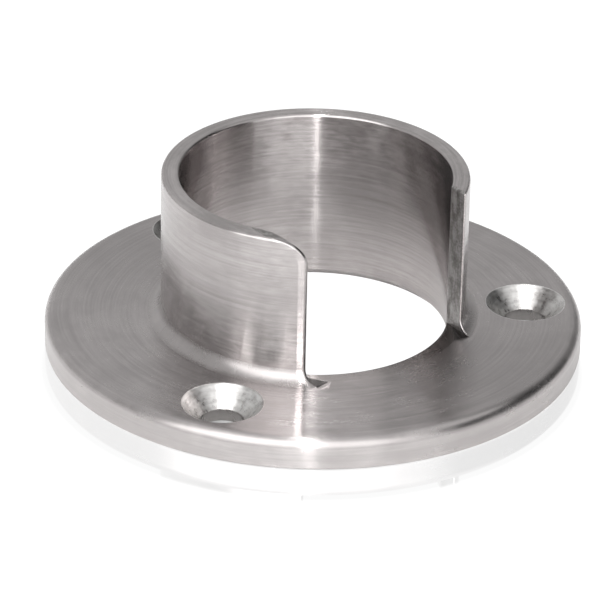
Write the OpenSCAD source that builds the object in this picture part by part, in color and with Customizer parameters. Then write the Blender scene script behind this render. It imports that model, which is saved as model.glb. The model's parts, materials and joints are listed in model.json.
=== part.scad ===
// Stanchion base: a round screw-down flange with a slotted collar for a slotted tube.
// Millimetres. The origin is the centre of the flange's underside, +Z is up the
// collar, and the slot faces -Y.

/* [Flange plate] */
// Outside diameter of the flange
flange_d = 85; // [80:1:110]
// Thickness of the flange
flange_t = 5; // [4:0.5:8]
// Radius of the rounded top edge of the flange
flange_edge_r = 1.5; // [0.5:0.1:2.5]
// Bevel that breaks the bottom edge of the flange
flange_foot_break = 0.3; // [0.1:0.1:0.8]

/* [Fixing holes] */
// Number of countersunk holes
hole_count = 3; // [3:1:4]
// Diameter of the circle that the holes lie on
hole_pcd = 68; // [66:0.5:70]
// Diameter of each through hole
hole_d = 6.6; // [5:0.1:6.6]
// Diameter of each countersink at the top face
sink_d = 12.5; // [9:0.1:13]
// Included angle of each countersink, in degrees
sink_angle = 90; // [82:1:100]

/* [Collar] */
// Outside diameter of the collar
collar_od = 48.3; // [44:0.1:49]
// Wall thickness of the collar
collar_wall = 2.8; // [2:0.1:4]
// Height of the collar's rim above the flange's underside
collar_top = 29; // [22:0.5:60]
// Bevel that breaks both edges of the rim
rim_break = 0.4; // [0.1:0.1:0.8]
// Bevel inside the lower end of the collar
collar_foot_bevel = 1.2; // [0.4:0.1:1.6]

/* [Slot] */
// Width of the slot, between its parallel sides
slot_w = 29.5; // [20:0.5:31]
// Radius of the slot's rounded top corner on the -X side
slot_corner_r = 4.25; // [1:0.25:5]
// Radius on the outer upright edge of the slot on the -X side
slot_left_edge_r = 0.5; // [0.2:0.1:1.4]
// Radius on the outer upright edge of the slot on the +X side
slot_right_edge_r = 0.2; // [0.2:0.1:1.4]
// Radius on the bore's edge where the slot lays it open
slot_floor_edge_r = 0.6; // [0.2:0.1:0.8]

/* [Cutter marks at the foot of the slot] */
// Length of each mark along the side of the slot
mark_length = 4.3; // [2:0.1:4.4]
// Reach of each mark across the floor of the slot
mark_reach = 2.6; // [1:0.1:4]
// Depth of each mark at the side of the slot
mark_depth = 0.9; // [0.3:0.1:1.4]

/* [Welds] */
// Leg of the hollow fillet weld round the foot of the collar
root_leg = 2; // [1:0.1:2.4]
// Leg of the bevel that the underside weld fills
seal_leg = 1.5; // [0.8:0.1:2]

/* [Hidden] */
$fn = 96;
flange_r = flange_d / 2;
collar_r = collar_od / 2;
bore_r = collar_r - collar_wall;
slot_half = slot_w / 2;
hole_r = hole_d / 2;
sink_r = sink_d / 2;
sink_depth = (sink_r - hole_r) / tan(sink_angle / 2);
// Azimuth of the first hole, from +X: the holes are spread evenly about the slot
first_hole_angle = -90 + 180 / hole_count;
// How far each cutter mark starts inside the collar's outer face
mark_start = 2;
// How far a cutter runs past the face that it cuts
over = 1;
// The same for the cutter marks, whose sloping sides would widen with more
skim = 0.02;
steel = "silver";
weld_steel = "gainsboro";

// A quarter-round edge's waste: what a radius takes off a square corner at the origin
module edge_waste(r) {
    difference() {
        translate([-r, -r]) square(r + over);
        translate([-r, -r]) circle(r);
    }
}

// One fixing hole with its countersink, which runs on past the top face
module fixing_hole() {
    translate([0, 0, -over]) cylinder(h = flange_t + over, r = hole_r);
    translate([0, 0, flange_t - sink_depth])
        cylinder(h = sink_depth + over, r1 = hole_r, r2 = sink_r + over * tan(sink_angle / 2));
}

module fixing_holes() {
    for (i = [0 : hole_count - 1])
        rotate(first_hole_angle + i * 360 / hole_count)
            translate([hole_pcd / 2, 0, 0]) fixing_hole();
}

// A three-sided cutter mark beside the foot of the slot on the +X side. It starts
// inside the collar's wall and runs out past it, and is deepest at the slot's side.
module cutter_mark() {
    inner_y = -sqrt(collar_r * collar_r - slot_half * slot_half) + mark_start;
    top_z = flange_t + skim;
    polyhedron(
        points = [
            [slot_half, inner_y, top_z],
            [slot_half, inner_y - mark_length, top_z],
            [slot_half - mark_reach, inner_y - 0.85 * mark_length, top_z],
            [slot_half, inner_y - 0.6 * mark_length, flange_t - mark_depth]
        ],
        faces = [[0, 1, 2], [0, 3, 1], [1, 3, 2], [2, 3, 0]]
    );
}

module cutter_marks() {
    cutter_mark();
    mirror([1, 0, 0]) cutter_mark();
}

// Half section of the plate, with the bevel that the underside weld fills
module plate_section() {
    difference() {
        translate([collar_r, 0]) square([flange_r - collar_r, flange_t]);
        translate([flange_r, flange_t]) edge_waste(flange_edge_r);
        polygon([
            [flange_r - flange_foot_break, 0],
            [flange_r + over, -over],
            [flange_r, flange_foot_break]
        ]);
        polygon([
            [collar_r - over, -over],
            [collar_r + seal_leg, 0],
            [collar_r, seal_leg]
        ]);
    }
}

module flange_plate() {
    color(steel)
    difference() {
        rotate_extrude() plate_section();
        fixing_holes();
        cutter_marks();
    }
}

// Half section of the collar before the slot is cut
module collar_section() {
    polygon([
        [bore_r + collar_foot_bevel, 0],
        [collar_r, 0],
        [collar_r, collar_top - rim_break],
        [collar_r - rim_break, collar_top],
        [bore_r + rim_break, collar_top],
        [bore_r, collar_top - rim_break],
        [bore_r, collar_foot_bevel]
    ]);
}

// Front view of the slot, with one rounded top corner
module slot_outline() {
    translate([-slot_half, flange_t]) square([slot_w, collar_top - flange_t + over]);
    translate([-slot_half, collar_top]) edge_waste(slot_corner_r);
}

module slot_cutter() {
    rotate([90, 0, 0]) linear_extrude(height = flange_r) slot_outline();
}

// Waste, in plan, outside a radius on the acute upright edge on the +X side of the slot.
// The radius crosses the collar's outer face at a slight angle instead of touching it.
module upright_edge_waste(r) {
    centre_r = collar_r - r + skim;
    x = slot_half + r;
    y = -sqrt(centre_r * centre_r - x * x);
    difference() {
        polygon([
            [x, y],
            [slot_half - over, y],
            [slot_half - over, -collar_r],
            (collar_r + over) / centre_r * [x, y]
        ]);
        translate([x, y]) circle(r);
    }
}

// The upright edges are rounded from the top of the root weld to above the rim
module upright_edges() {
    translate([0, 0, flange_t + root_leg])
        linear_extrude(height = collar_top) {
            upright_edge_waste(slot_right_edge_r);
            mirror([1, 0]) upright_edge_waste(slot_left_edge_r);
        }
}

// Rounds the bore's edge over the length that the slot lays open
module floor_edge() {
    intersection() {
        rotate_extrude()
            translate([bore_r, flange_t]) mirror([1, 0]) edge_waste(slot_floor_edge_r);
        translate([-slot_half, -flange_r, 0]) cube([slot_w, flange_r, collar_top]);
    }
}

module collar_sleeve() {
    color(steel)
    difference() {
        rotate_extrude() collar_section();
        slot_cutter();
        upright_edges();
        floor_edge();
        cutter_marks();
    }
}

// The root weld is ground hollow, and the slot is cut through it
module root_weld() {
    color(weld_steel)
    difference() {
        rotate_extrude()
            difference() {
                translate([collar_r, flange_t]) square(root_leg);
                translate([collar_r + root_leg, flange_t + root_leg]) circle(root_leg);
            }
        translate([-slot_half, -flange_r, 0]) cube([slot_w, flange_r, collar_top]);
    }
}

// The underside weld fills the plate's bevel and is ground flush
module seal_weld() {
    color(weld_steel)
    rotate_extrude()
        polygon([
            [collar_r, 0],
            [collar_r + seal_leg, 0],
            [collar_r, seal_leg]
        ]);
}

flange_plate();
collar_sleeve();
root_weld();
seal_weld();
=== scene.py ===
"""Stanchion base in turned and brushed stainless steel, on a white table in a light tent."""
import json
from math import asin, atan2, cos, hypot, pi, radians, sin, sqrt

import bmesh
import bpy
from mathutils import Matrix, Vector


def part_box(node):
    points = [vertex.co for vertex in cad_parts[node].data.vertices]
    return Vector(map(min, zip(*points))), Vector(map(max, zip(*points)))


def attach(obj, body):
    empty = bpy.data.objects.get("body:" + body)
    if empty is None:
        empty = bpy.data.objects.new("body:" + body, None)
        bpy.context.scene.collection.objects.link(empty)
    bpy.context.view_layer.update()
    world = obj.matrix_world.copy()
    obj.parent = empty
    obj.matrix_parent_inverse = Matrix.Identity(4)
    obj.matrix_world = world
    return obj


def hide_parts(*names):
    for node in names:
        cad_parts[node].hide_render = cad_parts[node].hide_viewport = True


# Lengths below are in millimetres, and MM turns them into metres.
MM = 0.001

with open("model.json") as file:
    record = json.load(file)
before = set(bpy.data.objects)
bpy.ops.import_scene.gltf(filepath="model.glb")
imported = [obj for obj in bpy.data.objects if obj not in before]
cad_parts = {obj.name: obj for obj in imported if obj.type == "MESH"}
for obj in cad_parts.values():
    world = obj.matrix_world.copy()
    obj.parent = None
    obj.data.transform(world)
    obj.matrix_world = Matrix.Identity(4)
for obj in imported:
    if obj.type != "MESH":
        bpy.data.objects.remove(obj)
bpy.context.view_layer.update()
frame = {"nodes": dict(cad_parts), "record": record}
nodes = frame["nodes"]
mounts = {mount["name"]: mount for mount in frame["record"]["mounts"]}


def top_corner(node):
    return [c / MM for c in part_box(node)[1]]


# Driving sizes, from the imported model
FLANGE_R, _, FLANGE_T = top_corner("flange_plate")
_, COLLAR_R, COLLAR_TOP = top_corner("collar_sleeve")
ROOT_LEG = top_corner("root_weld")[2] - FLANGE_T
SEAL_LEG = top_corner("seal_weld")[2]
BORE_R = mounts["tube_socket"]["dims"]["r_mm"]
HOLE_R = mounts["fixing_screws"]["dims"]["hole_r_mm"]
HOLE_RING_R = mounts["fixing_screws"]["dims"]["pcd_mm"] / 2
HOLE_COUNT = mounts["fixing_screws"]["dims"]["count"]

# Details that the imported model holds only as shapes
FLANGE_EDGE_R = 1.5
FLANGE_FOOT_BREAK = 0.3
SINK_R = 6.25
SINK_DEPTH = SINK_R - HOLE_R
SLOT_HALF = 14.75
SLOT_CORNER_R = 4.25
FLOOR_EDGE_R = 0.6
FOOT_BEVEL = 1.2
RIM_R = 0.4
MARK_START = 2
MARK_LENGTH = 4.3
MARK_REACH = 2.6
MARK_DEPTH = 0.9
# Places along each cutter mark of its inward tip and of its deepest point
MARK_TIP_AT = 0.85
MARK_PIT_AT = 0.6
# How far the cutter that makes a mark stands above the flange
MARK_SKIM = 0.02

LEFT, RIGHT = -1, 1

# The upright edges of the slot: the outer ones' radii, and the flats that a polishing
# belt left beside them, as half the turn that each flat spans and how far it is tipped
OUTER_EDGE_R = {LEFT: 0.45, RIGHT: 0.2}
FLAT_SPAN = {LEFT: radians(4.6), RIGHT: radians(0.6)}
FLAT_TIP = {LEFT: radians(2.2), RIGHT: radians(0.2)}
INNER_EDGE_R = 0.2
HOLE_EDGE_R = 0.12


# ---------------------------------------------------------------- mesh building


class Shell:
    """Vertices and faces of one piece, in millimetres."""

    def __init__(self):
        self.points = []
        self.faces = []
        self.slots = []

    def add(self, point):
        self.points.append(point)
        return len(self.points) - 1

    def row(self, points):
        return [self.add(p) for p in points]

    def face(self, corners, slot=0):
        """Adds a face, unless its repeated corners leave it without an area."""
        corners = [c for i, c in enumerate(corners) if c != corners[i - 1]]
        if len(corners) > 2:
            self.faces.append(corners)
            self.slots.append(slot)

    def grid(self, rows, slot=0, closed=False):
        """Quads between rows of equal length. A closed grid joins each row's ends."""
        for low, high in zip(rows, rows[1:]):
            last = len(low) if closed else len(low) - 1
            for i in range(last):
                j = (i + 1) % len(low)
                self.face([low[i], low[j], high[j], high[i]], slot)

    def flip_from(self, first):
        """Turns over every face from one on."""
        for face in self.faces[first:]:
            face.reverse()

    def finish(self, name, materials):
        """Makes the Blender object, with its faces turned outwards."""
        mesh = bpy.data.meshes.new(name)
        mesh.from_pydata([Vector(p) * MM for p in self.points], [], self.faces)
        mesh.polygons.foreach_set("material_index", self.slots)
        mesh.update()
        build = bmesh.new()
        build.from_mesh(mesh)
        bmesh.ops.recalc_face_normals(build, faces=build.faces)
        build.to_mesh(mesh)
        build.free()
        for material in materials:
            mesh.materials.append(material)
        piece = bpy.data.objects.new(name, mesh)
        bpy.context.scene.collection.objects.link(piece)
        return piece


def lerp(a, b, t):
    return a + (b - a) * t


def steps(low, high, count):
    return [lerp(low, high, i / count) for i in range(count + 1)]


def at(radius, azimuth, z):
    """The point at an azimuth that is 0 on -Y and grows towards +X."""
    return (radius * sin(azimuth), -radius * cos(azimuth), z)


def polar(x, y):
    """Radius and azimuth, from 0 to a full turn, of a point in plan."""
    return hypot(x, y), atan2(x, -y) % (2 * pi)


# ---------------------------------------------------------------- collar sleeve

WALL_COLUMNS = 144
SLOT_COLUMNS = 40
CORNER_STEPS = 5
FLAT_POINTS = (0, 0.06, 0.35, 0.65, 0.94)
OUTER_POINTS = len(FLAT_POINTS) + CORNER_STEPS + 1
FACE_STEPS = 4
WALL_STEPS = 8
TOP_CORNER_STEPS = 14
RIM_STEPS = 4
FLOOR_EDGE_STEPS = 4
# Columns over which a row's points settle from an end's outline to even spacing
SETTLE_COLUMNS = 4
# Columns over which the bore's edge under the slot takes on its full radius
SOFTEN_COLUMNS = 3
# Least radius of an edge, and least step between two points across the slot's floor
LEAST_EDGE_R = 0.02
LEAST_STEP = 0.03


def end_outline(side, half, outer_r, inner_r, outer_edge, inner_edge, flat=True):
    """Plan view of one end of the collar's wall, from its outer face round to its bore.

    The first points lie along the flat or, without it, along the outer face."""
    x = half + outer_edge
    normal = asin(x / (outer_r - outer_edge))
    start = normal + FLAT_SPAN[side] - FLAT_TIP[side]
    if flat:
        normal -= FLAT_TIP[side]
        y = (x * sin(normal) + outer_edge - outer_r * cos(FLAT_SPAN[side])) / cos(normal)
    else:
        y = -(outer_r - outer_edge) * cos(normal)
    first = outer_r * sin(start), -outer_r * cos(start)
    last = x + outer_edge * sin(normal), y - outer_edge * cos(normal)
    points = []
    for t in FLAT_POINTS:
        if flat:
            points.append((lerp(first[0], last[0], t), lerp(first[1], last[1], t)))
        else:
            points.append(at(outer_r, lerp(start, normal, t), 0)[:2])
    for t in steps(normal, -pi / 2, CORNER_STEPS):
        points.append((x + outer_edge * sin(t), y - outer_edge * cos(t)))
    x = half + inner_edge
    y_inner = -sqrt((inner_r + inner_edge) ** 2 - x * x)
    for y_face in steps(y, y_inner, FACE_STEPS)[1:-1]:
        points.append((half, y_face))
    for t in steps(-pi / 2, asin(x / (inner_r + inner_edge)) - pi, CORNER_STEPS):
        points.append((x + inner_edge * sin(t), y_inner - inner_edge * cos(t)))
    return [(side * px, py) for px, py in points]


def left_half(z):
    """Half-width of the slot on its left, where the top corner is rounded."""
    rise = max(0, z - (COLLAR_TOP - SLOT_CORNER_R)) / SLOT_CORNER_R
    return SLOT_HALF + SLOT_CORNER_R * (1 - sqrt(max(0, 1 - rise * rise)))


def wall_levels():
    """(height, inset) of each level of the collar's wall above the flange."""
    corner_z = COLLAR_TOP - SLOT_CORNER_R
    rim_z = COLLAR_TOP - RIM_R
    levels = [(z, 0) for z in steps(FLANGE_T, corner_z, WALL_STEPS)]
    turn = asin((rim_z - corner_z) / SLOT_CORNER_R)
    levels += [
        (corner_z + SLOT_CORNER_R * sin(t), 0) for t in steps(0, turn, TOP_CORNER_STEPS)[1:]
    ]
    levels += [
        (rim_z + RIM_R * sin(t), RIM_R * (1 - cos(t))) for t in steps(0, pi / 2, RIM_STEPS)[1:]
    ]
    return levels


def arc_between(start, end, radius, z, count):
    """Points on a circle from above one plan point's azimuth to another's, ends left out."""
    a0, a1 = polar(*start)[1], polar(*end)[1]
    return [at(radius, a, z) for a in steps(a0, a1, count)[1:-1]]


def band(shell, first, last, z, count, even):
    """Rows of points that carry one end outline round to the other at one height.

    Away from the ends, the points' radii settle to those that even gives."""
    rows = []
    for i in range(1, count):
        t = i / count
        near_end = max(0, 1 - min(i, count - i) / SETTLE_COLUMNS)
        row = []
        for p, q, even_r in zip(first, last, even):
            (r0, a0), (r1, a1) = polar(*p), polar(*q)
            r = lerp(even_r, lerp(r0, r1, t), near_end)
            row.append(shell.add(at(r, lerp(a0, a1, t), z)))
        rows.append(row)
    return rows


def collar_wall(shell):
    """The wall above the flange, as its outer and bore rows, its ends and their top outlines."""
    outer, inner, ends = [], [], {LEFT: [], RIGHT: []}
    outlines = {}
    for z, inset in wall_levels():
        outer_r, bore_r = COLLAR_R - inset, BORE_R + inset
        for side, half in ((RIGHT, SLOT_HALF), (LEFT, left_half(z))):
            outer_edge = max(OUTER_EDGE_R[side] - inset, LEAST_EDGE_R)
            inner_edge = max(INNER_EDGE_R - inset, LEAST_EDGE_R)
            outlines[side] = end_outline(
                side, half + inset, outer_r, bore_r, outer_edge, inner_edge, z > FLANGE_T
            )
            ends[side].append(shell.row([(x, y, z) for x, y in outlines[side]]))
        right, left = ends[RIGHT][-1], ends[LEFT][-1]
        arc = arc_between(outlines[RIGHT][0], outlines[LEFT][0], outer_r, z, WALL_COLUMNS)
        outer.append([right[0]] + shell.row(arc) + [left[0]])
        arc = arc_between(outlines[RIGHT][-1], outlines[LEFT][-1], bore_r, z, WALL_COLUMNS)
        inner.append([right[-1]] + shell.row(arc) + [left[-1]])
    shell.grid(outer)
    shell.grid([row[::-1] for row in inner])
    for side in (RIGHT, LEFT):
        shell.grid([row[:OUTER_POINTS] for row in ends[side]])
        shell.grid([row[OUTER_POINTS - 1:-CORNER_STEPS] for row in ends[side]], slot=1)
        shell.grid([row[-CORNER_STEPS - 1:] for row in ends[side]])
    return outer, inner, ends, outlines


def collar_rim(shell, outer, inner, ends, outlines):
    """The flat top of the rim, between the wall's top rows."""
    even = steps(COLLAR_R - RIM_R, BORE_R + RIM_R, len(outlines[RIGHT]) - 1)
    middle = band(shell, outlines[RIGHT], outlines[LEFT], COLLAR_TOP, WALL_COLUMNS, even)
    rim = [ends[RIGHT][-1]]
    for i, row in enumerate(middle, start=1):
        rim.append([outer[i]] + row[1:-1] + [inner[i]])
    rim.append(ends[LEFT][-1])
    shell.grid(rim)


def slot_floor(shell, ends):
    """The floor of the slot, whose bore edge is rounded away from the ends of the slot.

    Returns its rows, from left to right, and the radius of the bore's edge at each."""
    skip = len(FLAT_POINTS)
    floor_ends = {}
    for side in (RIGHT, LEFT):
        floor_ends[side] = end_outline(
            side, SLOT_HALF, COLLAR_R, BORE_R, OUTER_EDGE_R[side], INNER_EDGE_R, False
        )[skip:]
    last = len(floor_ends[LEFT]) - 1
    floor = [ends[LEFT][0][skip:]]
    softening = []
    for i in range(1, SLOT_COLUMNS):
        t = i / SLOT_COLUMNS
        from_end = min(i, SLOT_COLUMNS - i)
        edge = FLOOR_EDGE_R * min(1, from_end / SOFTEN_COLUMNS)
        softening.append(edge)
        near_end = max(0, 1 - from_end / SETTLE_COLUMNS)
        row = []
        for k, (p, q) in enumerate(zip(floor_ends[LEFT], floor_ends[RIGHT])):
            (r0, a0), (r1, a1) = polar(*p), polar(*q)
            r = lerp(lerp(COLLAR_R, BORE_R + edge, k / last), lerp(r0, r1, t), near_end)
            r = max(r, BORE_R + edge + LEAST_STEP * (last - k))
            r = min(r, COLLAR_R - LEAST_STEP * k) if k < last else BORE_R + edge
            row.append(shell.add(at(r, lerp(a0 - 2 * pi, a1, t), FLANGE_T)))
        floor.append(row)
    floor.append(ends[RIGHT][0][skip:])
    shell.grid(floor, slot=2)
    return floor, softening


def collar_foot(shell, outer, inner, ends, floor, softening):
    """The ring inside the flange, under both the wall and the floor of the slot."""
    skip = len(FLAT_POINTS)
    ring_outer = outer + ends[LEFT][0][1:skip + 1]
    ring_outer += [row[0] for row in floor[1:-1]] + ends[RIGHT][0][skip:0:-1]
    rows = [ring_outer]
    for z in (FLANGE_T / 2, 0):
        rows.append(shell.row([(*shell.points[i][:2], z) for i in ring_outer]))
    shell.grid(rows, closed=True)
    bottom_outer = rows[-1]

    ring_inner = inner + [row[-1] for row in floor[1:-1]]
    azimuths = [polar(*shell.points[i][:2])[1] for i in ring_inner]
    soft = [0] * len(inner) + softening
    rows = [ring_inner]
    for t in steps(0, pi / 2, FLOOR_EDGE_STEPS)[1:]:
        z = FLANGE_T - FLOOR_EDGE_R * (1 - cos(t))
        rows.append(
            shell.row([at(BORE_R + edge * (1 - sin(t)), a, z) for a, edge in zip(azimuths, soft)])
        )
    for radius, z in ((BORE_R, FLANGE_T / 2), (BORE_R, FOOT_BEVEL), (BORE_R + FOOT_BEVEL, 0)):
        rows.append(shell.row([at(radius, a, z) for a in azimuths]))
    left_end = len(inner) - 1
    shell.grid([row[:left_end + 1] for row in rows])
    under_slot = [row[left_end:] + row[:1] for row in rows]
    # The floor's rounded edge into the bore takes the near-black cut steel, painted shade where
    # the edge turns down into the bore
    shell.grid(under_slot[:FLOOR_EDGE_STEPS + 1], slot=3)
    shell.grid(under_slot[FLOOR_EDGE_STEPS:])

    # The outer ring has more points than the bore at the slot's ends
    foot = rows[-1]
    at_left = [foot[left_end]] * (skip + 1)
    foot = foot[:left_end] + at_left + foot[left_end + 1:] + [foot[0]] * skip
    shell.grid([bottom_outer, foot], closed=True)


def collar_sleeve():
    shell = Shell()
    outer, inner, ends, top_outlines = collar_wall(shell)
    collar_rim(shell, outer[-1], inner[-1], ends, top_outlines)
    floor, softening = slot_floor(shell, ends)
    collar_foot(shell, outer[0], inner[0], ends, floor, softening)
    return shell


# ---------------------------------------------------------------- welds

WELD_STEPS = 10


def root_weld():
    """Hollow fillet round the collar's foot. Its ends are rounded like the wall's."""
    shell = Shell()
    surface = []
    for t in steps(0, pi / 2, WELD_STEPS):
        radius = COLLAR_R + ROOT_LEG * (1 - cos(t))
        z = FLANGE_T + ROOT_LEG * (1 - sin(t))
        ends = {}
        for side in (RIGHT, LEFT):
            outline = end_outline(
                side, SLOT_HALF, radius, BORE_R, OUTER_EDGE_R[side], INNER_EDGE_R
            )[:OUTER_POINTS]
            ends[side] = [(x, y, z) for x, y in outline]
        arc = arc_between(ends[RIGHT][0][:2], ends[LEFT][0][:2], radius, z, WALL_COLUMNS)
        surface.append(shell.row(ends[RIGHT][::-1] + arc + ends[LEFT]))
    # The back and the foot lie on the collar and the flange
    back = shell.row([(*shell.points[i][:2], FLANGE_T) for i in surface[0]])
    shell.grid(surface)
    shell.grid([surface[-1], back, surface[0]])
    for end in (0, -1):
        shell.face([row[end] for row in surface] + [back[end]], slot=1)
    return shell


# ---------------------------------------------------------------- flange plate

# Each hole sits in a patch of the plate's grid of columns and rows
PATCH_COLUMNS = 20
PATCH_ROWS = 12
PATCH_HALF = radians(14)
PATCH_MARGIN = 1.1
PATCH_INNER_R = HOLE_RING_R - SINK_R - PATCH_MARGIN
BETWEEN_COLUMNS = 66
FLAT_R = FLANGE_R - FLANGE_EDGE_R
EDGE_STEPS = 6
HOLE_RING_STEPS = 3
CORNER_POINTS = 3
# Places of the rings down each countersink's cone
CONE_RINGS = (0.33, 0.67)


def hole_azimuths():
    """The holes are spread evenly about the slot."""
    return [pi / HOLE_COUNT + i * 2 * pi / HOLE_COUNT for i in range(HOLE_COUNT)]


def plate_azimuths():
    """Azimuth of each column, and the index of the first column of each hole's patch."""
    columns, starts = [], []
    for azimuth in hole_azimuths():
        starts.append(len(columns))
        low, high = azimuth - PATCH_HALF, azimuth + PATCH_HALF
        columns += steps(low, high, PATCH_COLUMNS)[:-1]
        columns += steps(high, low + 2 * pi / HOLE_COUNT, BETWEEN_COLUMNS)[:-1]
    return columns, starts


def plate_face(shell, z, azimuths, starts, first_row, last_row):
    """One flat side of the plate, with an opening for each hole. Returns their borders."""
    rows = [first_row]
    for radius in steps(PATCH_INNER_R, FLAT_R, PATCH_ROWS)[:-1]:
        rows.append(shell.row([at(radius, a, z) for a in azimuths]))
    rows.append(last_row)
    count = len(azimuths)
    holes = set()
    for start in starts:
        holes.update((start + i) % count for i in range(PATCH_COLUMNS))
    for k, (low, high) in enumerate(zip(rows, rows[1:])):
        for i in range(count):
            if k > 0 and i in holes:
                continue
            j = (i + 1) % count
            shell.face([low[i], low[j], high[j], high[i]])
    loops = []
    for start in starts:
        index = [(start + i) % count for i in range(PATCH_COLUMNS + 1)]
        loop = [rows[1][i] for i in index]
        loop += [row[index[-1]] for row in rows[2:]]
        loop += [rows[-1][i] for i in index[-2::-1]]
        loop += [row[index[0]] for row in rows[-2:1:-1]]
        loops.append(loop)
    return loops


def hole_rings(shell, loop, centre, radius, z):
    """Fills a patch from its border in to a circle. Returns the circle and its angles."""
    angles = []
    for i in loop:
        x, y, _ = shell.points[i]
        angles.append(atan2(y - centre[1], x - centre[0]))
    rows = [loop]
    for t in steps(0, 1, HOLE_RING_STEPS)[1:]:
        ring = []
        for i, angle in zip(loop, angles):
            x, y, _ = shell.points[i]
            cx, cy = centre[0] + radius * cos(angle), centre[1] + radius * sin(angle)
            ring.append((lerp(x, cx, t), lerp(y, cy, t), z))
        rows.append(shell.row(ring))
    shell.grid(rows, closed=True)
    return rows[-1], angles


def rounded_corner(before, corner, after, radius):
    """Profile points that round one corner of a polyline of (radius, height)."""
    b = Vector(corner)
    u, v = (Vector(before) - b).normalized(), (Vector(after) - b).normalized()
    start, end = b + u * radius, b + v * radius
    points = []
    for t in steps(0, 1, CORNER_POINTS):
        points.append(tuple(start * (1 - t) ** 2 + b * 2 * t * (1 - t) + end * t * t))
    return points


def fixing_hole(shell, number, top_loop, bottom_loop):
    """A countersunk hole, from its patch in the top face to its patch in the underside."""
    centre = at(HOLE_RING_R, hole_azimuths()[number], 0)
    cone_foot = FLANGE_T - SINK_DEPTH
    lip = rounded_corner(
        (SINK_R + 1, FLANGE_T), (SINK_R, FLANGE_T), (HOLE_R, cone_foot), HOLE_EDGE_R
    )
    neck = rounded_corner((SINK_R, FLANGE_T), (HOLE_R, cone_foot), (HOLE_R, 0), HOLE_EDGE_R)
    base = rounded_corner((HOLE_R, 1), (HOLE_R, 0), (HOLE_R + 1, 0), HOLE_EDGE_R)
    cone = [
        (lerp(lip[-1][0], neck[0][0], t), lerp(lip[-1][1], neck[0][1], t)) for t in CONE_RINGS
    ]
    circle, angles = hole_rings(shell, top_loop, centre, lip[0][0], FLANGE_T)
    rows = [circle]
    for radius, z in lip[1:] + cone + neck + [(HOLE_R, cone_foot / 2)] + base[:-1]:
        ring = [(centre[0] + radius * cos(a), centre[1] + radius * sin(a), z) for a in angles]
        rows.append(shell.row(ring))
    first = len(shell.faces)
    rows.append(hole_rings(shell, bottom_loop, centre, base[-1][0], 0)[0])
    shell.flip_from(first)
    shell.grid(rows, slot=1 + number, closed=True)


def flange_plate():
    shell = Shell()
    azimuths, starts = plate_azimuths()

    def ring(radius, z):
        return shell.row([at(radius, a, z) for a in azimuths])

    bore_top = ring(COLLAR_R, FLANGE_T)
    edge = [ring(FLAT_R, FLANGE_T)]
    for t in steps(0, pi / 2, EDGE_STEPS)[1:]:
        edge.append(
            ring(FLAT_R + FLANGE_EDGE_R * sin(t), FLANGE_T - FLANGE_EDGE_R * (1 - cos(t)))
        )
    foot = rounded_corner((FLANGE_R, FLANGE_T), (FLANGE_R, 0), (FLAT_R, 0), FLANGE_FOOT_BREAK)
    edge += [ring(radius, z) for radius, z in foot]
    edge.append(ring(FLAT_R, 0))
    seal = ring(COLLAR_R + SEAL_LEG, 0)
    seal_top = ring(COLLAR_R, SEAL_LEG)
    top_loops = plate_face(shell, FLANGE_T, azimuths, starts, bore_top, edge[0])
    shell.grid(edge[:EDGE_STEPS + 1], closed=True)
    # The side and foot take the lighter copy of the plate's steel, painted light
    shell.grid(edge[EDGE_STEPS:], slot=1 + HOLE_COUNT, closed=True)
    first = len(shell.faces)
    bottom_loops = plate_face(shell, 0, azimuths, starts, seal, edge[-1])
    shell.flip_from(first)
    shell.grid([seal, seal_top, bore_top], closed=True)
    for number, loops in enumerate(zip(top_loops, bottom_loops)):
        fixing_hole(shell, number, *loops)
    return shell


# ---------------------------------------------------------------- shared finishing


def cutter_mark(side):
    """The three-sided pit that a cutter leaves beside the foot of the slot."""
    shell = Shell()
    y = -sqrt(COLLAR_R**2 - SLOT_HALF**2) + MARK_START
    top = FLANGE_T + MARK_SKIM
    corners = [
        (SLOT_HALF, y, top),
        (SLOT_HALF, y - MARK_LENGTH, top),
        (SLOT_HALF - MARK_REACH, y - MARK_TIP_AT * MARK_LENGTH, top),
        (SLOT_HALF, y - MARK_PIT_AT * MARK_LENGTH, FLANGE_T - MARK_DEPTH),
    ]
    shell.row([(side * x, y, z) for x, y, z in corners])
    for corners in ((0, 1, 2), (0, 3, 1), (1, 3, 2), (2, 3, 0)):
        shell.face(list(corners)[::-side])
    return shell


def settle(piece):
    """Applies a piece's modifiers to its mesh."""
    graph = bpy.context.evaluated_depsgraph_get()
    raw = piece.data
    mesh = bpy.data.meshes.new_from_object(piece.evaluated_get(graph))
    piece.modifiers.clear()
    piece.data = mesh
    bpy.data.meshes.remove(raw)


def cut_marks(pieces, material):
    """Takes both cutter marks out of each piece."""
    cutters = [cutter_mark(side).finish("cutter", [material]) for side in (LEFT, RIGHT)]
    for piece in pieces:
        for number, cutter in enumerate(cutters):
            cut = piece.modifiers.new(f"cut_{number}", "BOOLEAN")
            cut.operation = "DIFFERENCE"
            cut.solver = "EXACT"
            cut.material_mode = "TRANSFER"
            cut.object = cutter
        settle(piece)
    for cutter in cutters:
        mesh = cutter.data
        bpy.data.objects.remove(cutter)
        bpy.data.meshes.remove(mesh)


# Angle at which an edge stays crisp
SHARP_ANGLE = radians(35)


def smooth(piece):
    piece.data.shade_smooth()
    piece.data.set_sharp_from_angle(angle=SHARP_ANGLE)
    weighted = piece.modifiers.new("weighted_normals", "WEIGHTED_NORMAL")
    weighted.keep_sharp = True


def place(piece, node):
    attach(piece, "root")
    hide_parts(node)
    smooth(piece)


# ---------------------------------------------------------------- materials


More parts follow.
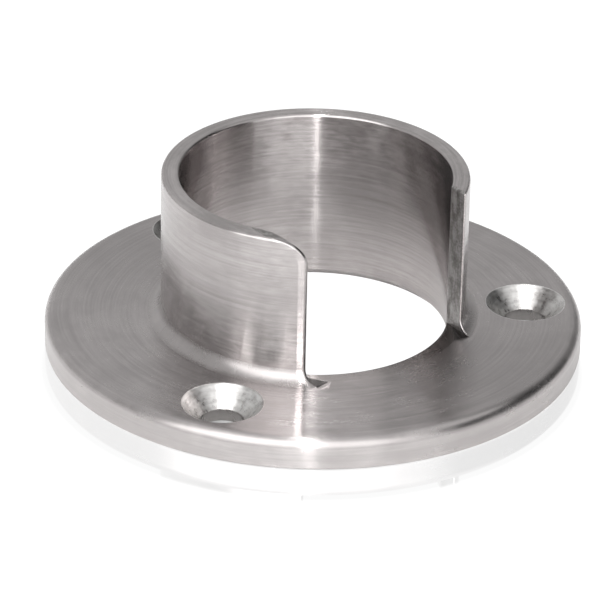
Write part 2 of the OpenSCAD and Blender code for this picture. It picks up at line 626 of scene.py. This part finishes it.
class Nodes:
    """Builds one node tree by short calls. Each call returns an output socket."""

    def __init__(self, tree):
        self.tree = tree
        tree.nodes.clear()

    def put(self, socket, value):
        if isinstance(value, bpy.types.NodeSocket):
            self.tree.links.new(value, socket)
        elif value is not None:
            socket.default_value = value

    def add(self, kind, *inputs, out=0, **settings):
        node = self.tree.nodes.new("ShaderNode" + kind)
        for name, value in settings.items():
            if hasattr(node, name):
                setattr(node, name, value)
            else:
                self.put(node.inputs[name.replace("_", " ")], value)
        for socket, value in zip(node.inputs, inputs):
            self.put(socket, value)
        return node.outputs[out] if len(node.outputs) else None

    def split(self, vector):
        """The x, y and z of a vector."""
        node = self.tree.nodes.new("ShaderNodeSeparateXYZ")
        self.put(node.inputs[0], vector)
        return node.outputs

    def math(self, operation, *inputs):
        return self.add("Math", *inputs, operation=operation)

    def remap(self, value, low, high, to_low, to_high):
        """A value between two marks as a number between two others, eased and clamped."""
        return self.add(
            "MapRange", value, low, high, to_low, to_high, interpolation_type="SMOOTHSTEP"
        )

    def noise(self, vector, scale, detail=2, roughness=0.5):
        return self.add(
            "TexNoise", Vector=vector, Scale=scale, Detail=detail, Roughness=roughness
        )

    def tint(self, amount, low, high):
        node = self.tree.nodes.new("ShaderNodeMix")
        node.data_type = "RGBA"
        self.put(node.inputs[0], amount)
        for socket, colour in ((node.inputs[6], low), (node.inputs[7], high)):
            self.put(socket, (*colour, 1) if isinstance(colour, tuple) else colour)
        return node.outputs[2]


def new_material(name):
    material = bpy.data.materials.new(name)
    material.use_nodes = True
    return material, Nodes(material.node_tree)


def lathe_grain(n, along, across, centre=(0, 0)):
    """Coordinates in which noise is drawn out along the lathe's turning direction."""
    where = n.add("TexCoord", out=3)
    x, y, z = n.split(where)
    x = n.math("SUBTRACT", x, centre[0])
    y = n.math("SUBTRACT", y, centre[1])
    radius = n.math("SQRT", n.math("ADD", n.math("MULTIPLY", x, x), n.math("MULTIPLY", y, y)))
    turn_x = n.math("MULTIPLY", n.math("DIVIDE", x, radius), along)
    turn_y = n.math("MULTIPLY", n.math("DIVIDE", y, radius), along)
    rise = n.math("MULTIPLY", n.math("ADD", radius, z), across)
    return where, n.add("CombineXYZ", turn_x, turn_y, rise)


def turned_steel(name, dark, light, roughness, lines_at, line_depth, worn=None):
    """Stainless steel finished on a lathe: fine rings, faint clouds and a streaky sheen.

    worn gives the tint that blotches of the cutter's dull marks take on, more of them
    the further they lie towards +X."""
    material, n = new_material(name)
    where, grain = lathe_grain(n, along=1.5, across=lines_at)
    rings = n.noise(grain, 1, detail=1, roughness=0.6)
    _, short_grain = lathe_grain(n, along=9, across=lines_at * 0.45)
    scratches = n.noise(short_grain, 1, detail=4, roughness=0.7)
    clouds = n.noise(where, 130, detail=3, roughness=0.55)
    shade = n.math("ADD", n.math("MULTIPLY", rings, 0.35), n.math("MULTIPLY", scratches, 0.35))
    shade = n.math("ADD", shade, n.math("MULTIPLY", clouds, 0.5))
    colour = n.tint(n.remap(shade, 0.42, 0.78, 0, 1), dark, light)
    if worn:
        side = n.remap(n.split(where)[0], -3 * MM, 12 * MM, -0.25, 0.3)
        blotches = n.noise(where, 700, detail=4, roughness=0.6)
        colour = n.tint(n.remap(n.math("ADD", side, blotches), 0.4, 0.85, 0, 1), colour, worn)
    gloss = n.remap(n.math("ADD", scratches, clouds), 0.7, 1.3, roughness - 0.03, roughness + 0.03)
    bump = n.add("Bump", Height=rings, Strength=1, Distance=line_depth * MM)
    tangent = n.add("Tangent", direction_type="RADIAL", axis="Z")
    shader = n.add(
        "BsdfPrincipled",
        Base_Color=colour,
        Metallic=1,
        Roughness=gloss,
        Normal=bump,
        Tangent=tangent,
        Anisotropic=1,
        Anisotropic_Rotation=0.25,
    )
    n.add("OutputMaterial", shader)
    return material


def cut_steel(name, dark, light):
    """Steel left by the slot's cutter: coarse, mottled and duller than the rest."""
    material, n = new_material(name)
    where = n.add("TexCoord", out=3)
    stretched = n.add("VectorMath", where, (1, 1, 0.35), operation="MULTIPLY")
    patches = n.noise(stretched, 900, detail=4, roughness=0.6)
    grit = n.noise(where, 3200, detail=3, roughness=0.6)
    shade = n.math("ADD", n.math("MULTIPLY", patches, 0.65), n.math("MULTIPLY", grit, 0.35))
    colour = n.tint(n.remap(shade, 0.35, 0.66, 0, 1), dark, light)
    gloss = n.remap(patches, 0.3, 0.7, 0.52, 0.38)
    bump = n.add("Bump", Height=shade, Strength=1, Distance=0.07 * MM)
    shader = n.add(
        "BsdfPrincipled", Base_Color=colour, Metallic=1, Roughness=gloss, Normal=bump
    )
    n.add("OutputMaterial", shader)
    return material


def sink_steel(name, centre):
    """A countersink's cone, with the bright rings that a drill's lips leave."""
    material, n = new_material(name)
    centre = (centre[0] * MM, centre[1] * MM)
    where, grain = lathe_grain(n, centre=centre, along=1.2, across=1500)
    rings = n.noise(grain, 1, detail=3, roughness=0.6)
    _, chatter_grain = lathe_grain(n, centre=centre, along=5, across=700)
    chatter = n.noise(chatter_grain, 1, detail=2)
    shade = n.math("ADD", n.math("MULTIPLY", rings, 0.5), n.math("MULTIPLY", chatter, 0.5))
    colour = n.tint(n.remap(shade, 0.35, 0.65, 0, 1), (0.47, 0.46, 0.45), (0.7, 0.69, 0.68))
    # Painted shade: the hole's wall below the cone is tinted dark, as the shade inside the hole
    foot = (FLANGE_T - SINK_DEPTH) * MM
    below = n.remap(n.split(where)[2], foot, foot - 0.2 * MM, 0, 0.85)
    colour = n.tint(below, colour, (0.2, 0.188, 0.183))
    gloss = n.remap(chatter, 0.35, 0.65, 0.27, 0.36)
    bump = n.add(
        "Bump", Height=n.math("ADD", rings, chatter), Strength=1, Distance=0.016 * MM
    )
    shader = n.add(
        "BsdfPrincipled", Base_Color=colour, Metallic=1, Roughness=gloss, Normal=bump
    )
    n.add("OutputMaterial", shader)
    return material


# ---------------------------------------------------------------- pieces

plate_steel = turned_steel(
    "turned_plate",
    dark=(0.382, 0.36, 0.357),
    light=(0.492, 0.465, 0.461),
    roughness=0.25,
    lines_at=2600,
    line_depth=0.0025,
)
# The plate's side: the plate's own steel with lighter tints, painted light that brightens the side
lightened_rim_steel = turned_steel(
    "turned_rim_painted_light",
    dark=(0.43, 0.408, 0.404),
    light=(0.54, 0.513, 0.508),
    roughness=0.25,
    lines_at=2600,
    line_depth=0.0025,
)
collar_steel = turned_steel(
    "brushed_collar",
    dark=(0.375, 0.352, 0.348),
    light=(0.525, 0.497, 0.492),
    roughness=0.21,
    lines_at=3000,
    line_depth=0.002,
)
weld_steel = turned_steel(
    "ground_weld",
    dark=(0.38, 0.358, 0.354),
    light=(0.48, 0.455, 0.45),
    roughness=0.28,
    lines_at=1500,
    line_depth=0.002,
)
floor_steel = turned_steel(
    "slot_floor",
    dark=(0.36, 0.338, 0.333),
    light=(0.47, 0.445, 0.44),
    roughness=0.25,
    lines_at=2600,
    line_depth=0.002,
    worn=(0.24, 0.22, 0.215),
)
slot_steel = cut_steel("slot_steel", dark=(0.15, 0.14, 0.135), light=(0.42, 0.41, 0.4))
# Cut steel with the cutter's coarse finish, tinted near black as painted shade: it fills the
# cutter's pits and the slot floor's rounded bore edge
shade_painted_cut_steel = cut_steel("shade_painted_cut_steel", dark=(0.1, 0.093, 0.091), light=(0.2, 0.188, 0.184))
sink_steels = [
    sink_steel(f"sink_steel_{i + 1}", at(HOLE_RING_R, azimuth, 0))
    for i, azimuth in enumerate(hole_azimuths())
]

# The order of each piece's materials is that of the slot numbers in its mesh
plate = flange_plate().finish("Flange_plate", [plate_steel, *sink_steels, lightened_rim_steel])
collar = collar_sleeve().finish(
    "Collar_sleeve", [collar_steel, slot_steel, floor_steel, shade_painted_cut_steel]
)
root = root_weld().finish("Root_weld", [weld_steel, slot_steel])
cut_marks([plate, collar], shade_painted_cut_steel)
place(plate, "flange_plate")
place(collar, "collar_sleeve")
place(root, "root_weld")

# The underside weld keeps its CAD mesh
seal = nodes["seal_weld"]
seal.data.materials.clear()
seal.data.materials.append(weld_steel)


# ---------------------------------------------------------------- camera, floor and light

# A long lens, looking down at the slot from its left
CAMERA_AZIMUTH = -36.6
CAMERA_ELEVATION = 28.05
CAMERA_ROLL = 1.1
CAMERA_DISTANCE = 0.672
CAMERA_LENS = 253.4
CAMERA_AIM = Vector((5.8 * MM, 11.4 * MM, 0))


def make_camera():
    camera = bpy.data.objects.new("camera", bpy.data.cameras.new("camera"))
    bpy.context.scene.collection.objects.link(camera)
    camera.data.lens = CAMERA_LENS
    camera.data.sensor_width = 36
    camera.data.clip_start = 0.01
    camera.data.clip_end = 10
    azimuth, elevation = radians(CAMERA_AZIMUTH), radians(CAMERA_ELEVATION)
    camera.location = CAMERA_DISTANCE * Vector(
        (sin(azimuth) * cos(elevation), -cos(azimuth) * cos(elevation), sin(elevation))
    )
    sight = (CAMERA_AIM - camera.location).to_track_quat("-Z", "Y")
    camera.rotation_mode = "QUATERNION"
    roll = Matrix.Rotation(radians(CAMERA_ROLL), 3, "Z").to_quaternion()
    camera.rotation_quaternion = sight @ roll
    bpy.context.scene.camera = camera


# The table: how brightly the camera sees it, how white it is to the steel, and the
# polished patch under the object, which reaches further towards the camera
TABLE_HALF = 3
FLOOR_GLOW = 1.1
FLOOR_WHITE = 0.88
FLOOR_POLISH = 0.3
POLISH_ROUGHNESS = 0.03
POLISH_R = 43
POLISH_SHIFT = 9
# The table is plain inside this radius, where the bore lets it be seen
PLAIN_R = 31
# How much light is left at the foot of a fixing hole
HOLE_SHADE = 0.5


def make_floor():
    """A white table that glows, so that it stays white, with a polished patch at its middle."""
    mesh = bpy.data.meshes.new("floor")
    corners = [(-1, -1), (1, -1), (1, 1), (-1, 1)]
    mesh.from_pydata([(x * TABLE_HALF, y * TABLE_HALF, 0) for x, y in corners], [], [(0, 1, 2, 3)])
    floor = bpy.data.objects.new("floor", mesh)
    bpy.context.scene.collection.objects.link(floor)
    material, n = new_material("floor")
    where = n.add("TexCoord", out=3)
    azimuth = radians(CAMERA_AZIMUTH)
    shift = Vector((sin(azimuth), -cos(azimuth), 0)) * POLISH_SHIFT * MM
    from_patch = n.add("VectorMath", where, shift, operation="DISTANCE", out=1)
    patch = n.remap(from_patch, (POLISH_R - 1) * MM, (POLISH_R + 0.5) * MM, 1, 0)
    from_axis = n.add("VectorMath", where, operation="LENGTH", out=1)
    outside = n.remap(from_axis, PLAIN_R * MM, (PLAIN_R + 1) * MM, 0, 1)
    polish = n.math("MULTIPLY", n.math("MULTIPLY", patch, outside), FLOOR_POLISH)
    shade = 1
    for hole_azimuth in hole_azimuths():
        hole = at(HOLE_RING_R * MM, hole_azimuth, 0)
        from_hole = n.add("VectorMath", where, hole, operation="DISTANCE", out=1)
        inside = n.remap(from_hole, HOLE_R * MM, (HOLE_R + 1) * MM, HOLE_SHADE, 1)
        shade = n.math("MULTIPLY", shade, inside)
    glow = n.add("Emission", (1, 1, 1, 1), n.math("MULTIPLY", shade, FLOOR_GLOW))
    gloss = n.add("BsdfGlossy", (1, 1, 1, 1), POLISH_ROUGHNESS)
    seen = n.add("MixShader", polish, glow, gloss)
    matt = n.add("BsdfDiffuse", (FLOOR_WHITE,) * 3 + (1,))
    n.add("OutputMaterial", n.add("MixShader", n.add("LightPath"), matt, seen))
    mesh.materials.append(material)


# Light round the horizon: (azimuth from the camera, strength). Right is positive.
TENT = [
    (-180, 0.66),
    (-140, 0.74),
    (-100, 0.68),
    (-82, 0.6),
    (-68, 0.82),
    (-54, 2.75),
    (-25, 3.3),
    (8, 2.55),
    (28, 2.45),
    (46, 1.4),
    (66, 0.1),
    (120, 0.03),
    (145, 0.25),
    (180, 0.66),
]

# A narrow upright light in front of the object: azimuth, half-width and strength
STRIP_AZIMUTH = -0.5
STRIP_HALF = 2.2
STRIP_STRENGTH = 17

# The light overhead: its strength, the elevations over which it takes over from the
# tent, and how much lower it reaches on the right
OVERHEAD = 1.0
OVERHEAD_FROM = radians(58)
OVERHEAD_FULL = radians(70)
OVERHEAD_LEAN = 0.28

# A tube that runs overhead, from behind the camera to behind the object. Its place
# and half-width are sines of the angle to the right.
TUBE_SIDE = -0.018
TUBE_HALF = 0.006
TUBE_STRENGTH = 24


def make_world():
    world = bpy.data.worlds.new("light_tent")
    bpy.context.scene.world = world
    world.use_nodes = True
    n = Nodes(world.node_tree)
    x, y, z = n.split(n.add("TexCoord", out=0))
    # Azimuth from the camera, in turns: 0 and 1 are behind the object, 0.5 is the camera
    c, s = cos(radians(CAMERA_AZIMUTH)), sin(radians(CAMERA_AZIMUTH))
    right = n.math("ADD", n.math("MULTIPLY", x, c), n.math("MULTIPLY", y, s))
    near = n.math("SUBTRACT", n.math("MULTIPLY", x, s), n.math("MULTIPLY", y, c))
    turn = n.math("ADD", n.math("DIVIDE", n.math("ARCTAN2", right, near), 2 * pi), 0.5)
    top = max(strength for _, strength in TENT)
    ramp = n.tree.nodes.new("ShaderNodeValToRGB")
    n.put(ramp.inputs[0], turn)
    ramp.color_ramp.interpolation = "EASE"
    stops = ramp.color_ramp.elements
    while len(stops) < len(TENT):
        stops.new(0.5)
    for stop, (azimuth, strength) in zip(stops, TENT):
        stop.position = azimuth / 360 + 0.5
        stop.color = (strength / top,) * 3 + (1,)
    around = n.math("MULTIPLY", ramp.outputs[0], top)
    strip = n.math("ABSOLUTE", n.math("SUBTRACT", turn, STRIP_AZIMUTH / 360 + 0.5))
    strip = n.remap(strip, STRIP_HALF / 360, STRIP_HALF / 720, 0, STRIP_STRENGTH)
    around = n.math("ADD", around, strip)
    lean = n.math("MULTIPLY", n.math("MAXIMUM", right, 0), OVERHEAD_LEAN)
    high = n.remap(n.math("ADD", z, lean), sin(OVERHEAD_FROM), sin(OVERHEAD_FULL), 0, 1)
    light = n.add("MapRange", high, 0, 1, around, OVERHEAD)
    tube = n.math("ABSOLUTE", n.math("SUBTRACT", right, TUBE_SIDE))
    tube = n.remap(tube, TUBE_HALF, TUBE_HALF / 2, 0, TUBE_STRENGTH)
    light = n.math("ADD", light, n.math("MULTIPLY", tube, high))
    # What shows past the table is as white as the table
    light = n.add("MapRange", n.add("LightPath"), 0, 1, light, FLOOR_GLOW)
    n.add("OutputWorld", n.add("Background", (1, 1, 1, 1), light))


make_camera()
make_floor()
make_world()
bpy.context.scene.view_settings.view_transform = "Standard"
